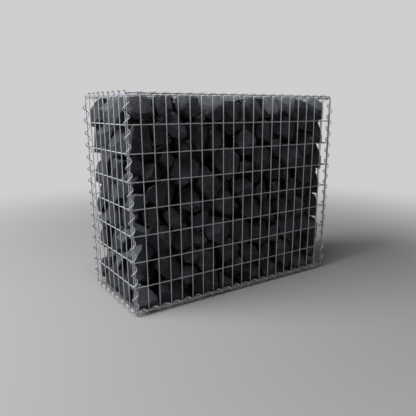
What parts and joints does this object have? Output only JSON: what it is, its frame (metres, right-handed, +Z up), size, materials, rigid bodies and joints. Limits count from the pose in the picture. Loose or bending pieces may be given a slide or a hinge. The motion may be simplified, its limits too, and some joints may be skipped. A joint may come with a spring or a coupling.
{
  "type": "gabion wall",
  "caption": "Free-standing gabion wall: a welded mesh basket laced with spiral binders and packed with dark angular stone.",
  "frame": {"origin": "centre of the basket's footprint, on the ground under the lowest spirals", "axes": "+X along the wall to the right seen from the front, +Y through it from front to back, +Z up"},
  "size_m": [1.0304, 0.4354, 0.836],
  "materials": {
    "mesh_wire": "dull hot-dip galvanised wire, 4 mm",
    "spiral_wire": "bright zinc-aluminium coated spring wire, 4 mm",
    "basalt": "broken basalt, anthracite, matt with worn light edges"
  },
  "bodies": {
    "root": {"back_left_spiral": "spiral_wire", "back_panel": "mesh_wire", "back_right_spiral": "spiral_wire", "base_panel": "mesh_wire", "bottom_back_spiral": "spiral_wire", "bottom_front_spiral": "spiral_wire", "bottom_left_spiral": "spiral_wire", "bottom_right_spiral": "spiral_wire", "front_left_spiral": "spiral_wire", "front_panel": "mesh_wire", "front_right_spiral": "spiral_wire", "left_end_panel": "mesh_wire", "lid_panel": "mesh_wire", "right_end_panel": "mesh_wire", "stone_course_1": "basalt", "stone_course_2": "basalt", "stone_course_3": "basalt", "stone_course_4": "basalt", "stone_course_5": "basalt", "stone_course_6": "basalt", "stone_course_7": "basalt", "stone_course_8": "basalt", "top_back_spiral": "spiral_wire", "top_front_spiral": "spiral_wire", "top_left_spiral": "spiral_wire", "top_right_spiral": "spiral_wire"}
  },
  "joints": []
}
